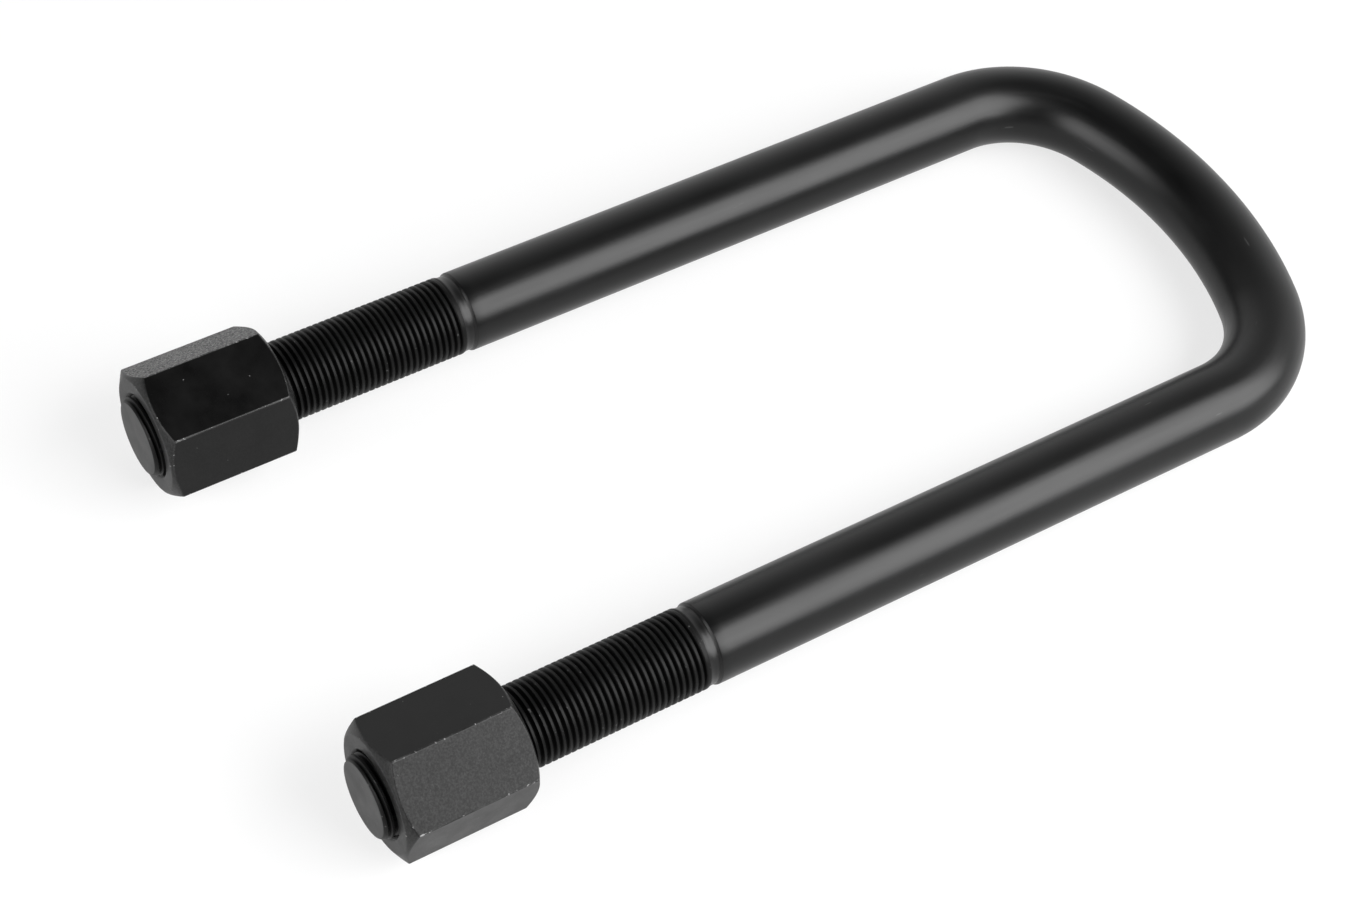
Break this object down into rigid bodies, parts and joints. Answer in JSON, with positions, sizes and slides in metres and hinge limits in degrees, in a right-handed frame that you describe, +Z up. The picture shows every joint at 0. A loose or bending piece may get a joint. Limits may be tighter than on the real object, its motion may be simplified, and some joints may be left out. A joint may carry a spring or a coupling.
{
  "type": "leaf spring u-bolt",
  "caption": "Heavy round-bar U-bolt with a low arched crown, threaded leg ends and tall hex nuts that turn and travel on the threads, for clamping a leaf spring to an axle.",
  "frame": {"origin": "midway between the legs and midway along the whole length, at the height of the lowest nut corner", "axes": "+Z up out of the plane of the U, +Y along the legs towards the crown, +X from the left leg to the right leg as seen from the thread ends"},
  "size_m": [0.1605, 0.3158, 0.0378],
  "materials": {
    "bar": "satin black oxide on drawn steel bar",
    "nut": "grainy black oxide on forged steel, worn bright on the corners",
    "thread": "oiled black thread"
  },
  "bodies": {
    "u_bolt": {"u_bolt": "bar"},
    "left_nut_thread": {"left_nut_thread": "thread"},
    "left_nut": {"left_nut": "nut"},
    "right_nut_thread": {"right_nut_thread": "thread"},
    "right_nut": {"right_nut": "nut"}
  },
  "joints": [
    {"name": "left_nut_travel", "type": "slide", "parent": "u_bolt", "child": "left_nut_thread", "axis": [0, 1, 0], "range_m": [-0.0391, 0.0506]},
    {"name": "left_nut_spin", "type": "hinge", "parent": "left_nut_thread", "child": "left_nut", "pos_m": [-0.06205, -0.13748, 0.01892], "axis": [0, 1, 0], "range_deg": [-7738, 10020]},
    {"name": "right_nut_travel", "type": "slide", "parent": "u_bolt", "child": "right_nut_thread", "axis": [0, 1, 0], "range_m": [-0.0399, 0.0498]},
    {"name": "right_nut_spin", "type": "hinge", "parent": "right_nut_thread", "child": "right_nut", "pos_m": [0.06205, -0.13668, 0.01892], "axis": [0, 1, 0], "range_deg": [-7897, 9861]}
  ],
  "couplings": [
    {"joint": "left_nut_travel", "follows": "left_nut_spin", "m_per_rad": 0.00028875},
    {"joint": "right_nut_travel", "follows": "right_nut_spin", "m_per_rad": 0.00028875}
  ]
}
